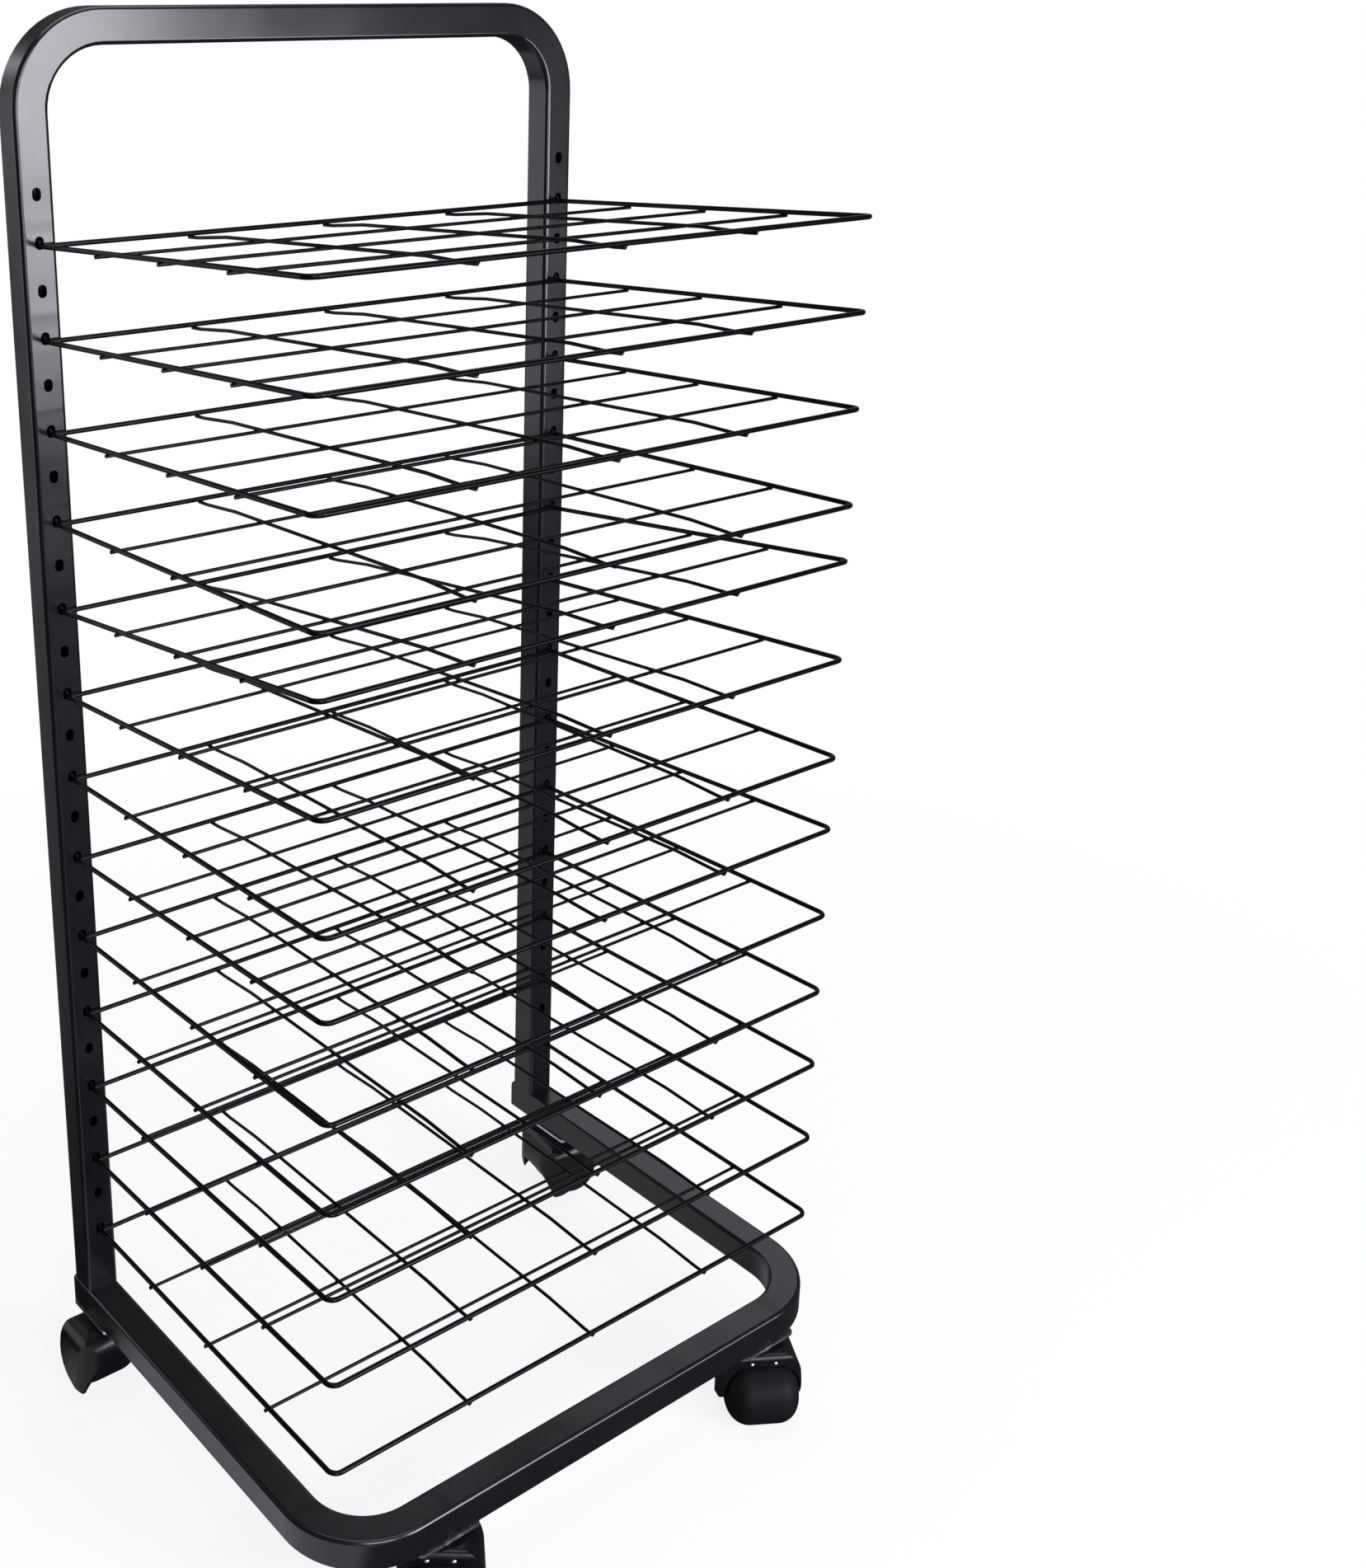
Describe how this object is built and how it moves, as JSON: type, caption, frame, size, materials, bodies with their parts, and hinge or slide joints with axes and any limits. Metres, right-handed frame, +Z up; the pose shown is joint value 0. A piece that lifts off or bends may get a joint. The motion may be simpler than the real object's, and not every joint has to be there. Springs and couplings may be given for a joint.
{
  "type": "art drying rack",
  "caption": "Mobile drying rack: a bent square-tube hoop on a U-shaped base with swivel casters carries hinged wire shelves hooked one above the other.",
  "frame": {"origin": "on the floor, on the middle plane of the rack, at the middle of its footprint", "axes": "+X along the shelf width to the right, +Y to the back where the uprights stand, +Z up"},
  "size_m": [0.5244, 0.4154, 1.065],
  "materials": {
    "frame_paint": "gloss",
    "wire_coat": "gloss",
    "zinc": "satin",
    "steel": "satin",
    "hood_paint": "satin",
    "tyre": "satin",
    "core_plastic": "matte",
    "cap_plastic": "matte"
  },
  "bodies": {
    "frame": {"hoop": "frame_paint", "base": "frame_paint", "spigots": "frame_paint", "joint_screws": "frame_paint", "end_caps": "cap_plastic", "caster_plates": "zinc", "plate_bolts": "steel", "rivet_nuts": "steel", "kingpins": "steel"},
    "shelf_01_body": {"shelf_01": "wire_coat"},
    "shelf_02_body": {"shelf_02": "wire_coat"},
    "shelf_03_body": {"shelf_03": "wire_coat"},
    "shelf_04_body": {"shelf_04": "wire_coat"},
    "shelf_05_body": {"shelf_05": "wire_coat"},
    "shelf_06_body": {"shelf_06": "wire_coat"},
    "shelf_07_body": {"shelf_07": "wire_coat"},
    "shelf_08_body": {"shelf_08": "wire_coat"},
    "shelf_09_body": {"shelf_09": "wire_coat"},
    "shelf_10_body": {"shelf_10": "wire_coat"},
    "shelf_11_body": {"shelf_11": "wire_coat"},
    "shelf_12_body": {"shelf_12": "wire_coat"},
    "shelf_13_body": {"shelf_13": "wire_coat"},
    "front_left_swivel_body": {"front_left_hood": "hood_paint", "front_left_race": "zinc", "front_left_hood_studs": "steel", "front_left_axle": "steel"},
    "front_left_wheel_body": {"front_left_wheel_core": "core_plastic", "front_left_tyre": "tyre"},
    "front_right_swivel_body": {"front_right_hood": "hood_paint", "front_right_race": "zinc", "front_right_hood_studs": "steel", "front_right_axle": "steel"},
    "front_right_wheel_body": {"front_right_wheel_core": "core_plastic", "front_right_tyre": "tyre"},
    "rear_left_swivel_body": {"rear_left_hood": "hood_paint", "rear_left_race": "zinc", "rear_left_hood_studs": "steel", "rear_left_axle": "steel"},
    "rear_left_wheel_body": {"rear_left_wheel_core": "core_plastic", "rear_left_tyre": "tyre"},
    "rear_right_swivel_body": {"rear_right_hood": "hood_paint", "rear_right_race": "zinc", "rear_right_hood_studs": "steel", "rear_right_axle": "steel"},
    "rear_right_wheel_body": {"rear_right_wheel_core": "core_plastic", "rear_right_tyre": "tyre"}
  },
  "joints": [
    {"name": "shelf_01_hinge", "type": "hinge", "parent": "frame", "child": "shelf_01_body", "pos_m": [0, 0.17075, 0.914], "axis": [-1, 0, 0], "range_deg": [0, 70]},
    {"name": "shelf_02_hinge", "type": "hinge", "parent": "frame", "child": "shelf_02_body", "pos_m": [0, 0.17075, 0.85], "axis": [-1, 0, 0], "range_deg": [0, 10]},
    {"name": "shelf_03_hinge", "type": "hinge", "parent": "frame", "child": "shelf_03_body", "pos_m": [0, 0.17075, 0.786], "axis": [-1, 0, 0], "range_deg": [0, 10.5]},
    {"name": "shelf_04_hinge", "type": "hinge", "parent": "frame", "child": "shelf_04_body", "pos_m": [0, 0.17075, 0.722], "axis": [-1, 0, 0], "range_deg": [0, 11]},
    {"name": "shelf_05_hinge", "type": "hinge", "parent": "frame", "child": "shelf_05_body", "pos_m": [0, 0.17075, 0.658], "axis": [-1, 0, 0], "range_deg": [0, 6]},
    {"name": "shelf_06_hinge", "type": "hinge", "parent": "frame", "child": "shelf_06_body", "pos_m": [0, 0.17075, 0.594], "axis": [-1, 0, 0], "range_deg": [0, 12]},
    {"name": "shelf_07_hinge", "type": "hinge", "parent": "frame", "child": "shelf_07_body", "pos_m": [0, 0.17075, 0.53], "axis": [-1, 0, 0], "range_deg": [0, 12]},
    {"name": "shelf_08_hinge", "type": "hinge", "parent": "frame", "child": "shelf_08_body", "pos_m": [0, 0.17075, 0.466], "axis": [-1, 0, 0], "range_deg": [0, 9]},
    {"name": "shelf_09_hinge", "type": "hinge", "parent": "frame", "child": "shelf_09_body", "pos_m": [0, 0.17075, 0.402], "axis": [-1, 0, 0], "range_deg": [0, 11]},
    {"name": "shelf_10_hinge", "type": "hinge", "parent": "frame", "child": "shelf_10_body", "pos_m": [0, 0.17075, 0.338], "axis": [-1, 0, 0], "range_deg": [0, 10]},
    {"name": "shelf_11_hinge", "type": "hinge", "parent": "frame", "child": "shelf_11_body", "pos_m": [0, 0.17075, 0.274], "axis": [-1, 0, 0], "range_deg": [0, 10]},
    {"name": "shelf_12_hinge", "type": "hinge", "parent": "frame", "child": "shelf_12_body", "pos_m": [0, 0.17075, 0.21], "axis": [-1, 0, 0], "range_deg": [0, 10.5]},
    {"name": "shelf_13_hinge", "type": "hinge", "parent": "frame", "child": "shelf_13_body", "pos_m": [0, 0.17075, 0.146], "axis": [-1, 0, 0], "range_deg": [0, 11]},
    {"name": "front_left_swivel", "type": "hinge", "parent": "frame", "child": "front_left_swivel_body", "pos_m": [-0.148, -0.1655, 0.06], "axis": [0, 0, 1], "continuous": true},
    {"name": "front_left_roll", "type": "hinge", "parent": "front_left_swivel_body", "child": "front_left_wheel_body", "pos_m": [-0.15492, -0.17405, 0.025], "axis": [-0.7771, 0.6293, 0], "continuous": true},
    {"name": "front_right_swivel", "type": "hinge", "parent": "frame", "child": "front_right_swivel_body", "pos_m": [0.167, -0.1655, 0.06], "axis": [0, 0, 1], "continuous": true},
    {"name": "front_right_roll", "type": "hinge", "parent": "front_right_swivel_body", "child": "front_right_wheel_body", "pos_m": [0.16117, -0.17483, 0.025], "axis": [-0.848, 0.5299, 0], "continuous": true},
    {"name": "rear_left_swivel", "type": "hinge", "parent": "frame", "child": "rear_left_swivel_body", "pos_m": [-0.2275, 0.175, 0.06], "axis": [0, 0, 1], "continuous": true},
    {"name": "rear_left_roll", "type": "hinge", "parent": "rear_left_swivel_body", "child": "rear_left_wheel_body", "pos_m": [-0.2275, 0.186, 0.025], "axis": [1, 0, 0], "continuous": true},
    {"name": "rear_right_swivel", "type": "hinge", "parent": "frame", "child": "rear_right_swivel_body", "pos_m": [0.2275, 0.15, 0.06], "axis": [0, 0, 1], "continuous": true},
    {"name": "rear_right_roll", "type": "hinge", "parent": "rear_right_swivel_body", "child": "rear_right_wheel_body", "pos_m": [0.23833, 0.14809, 0.025], "axis": [-0.1736, -0.9848, 0], "continuous": true}
  ]
}
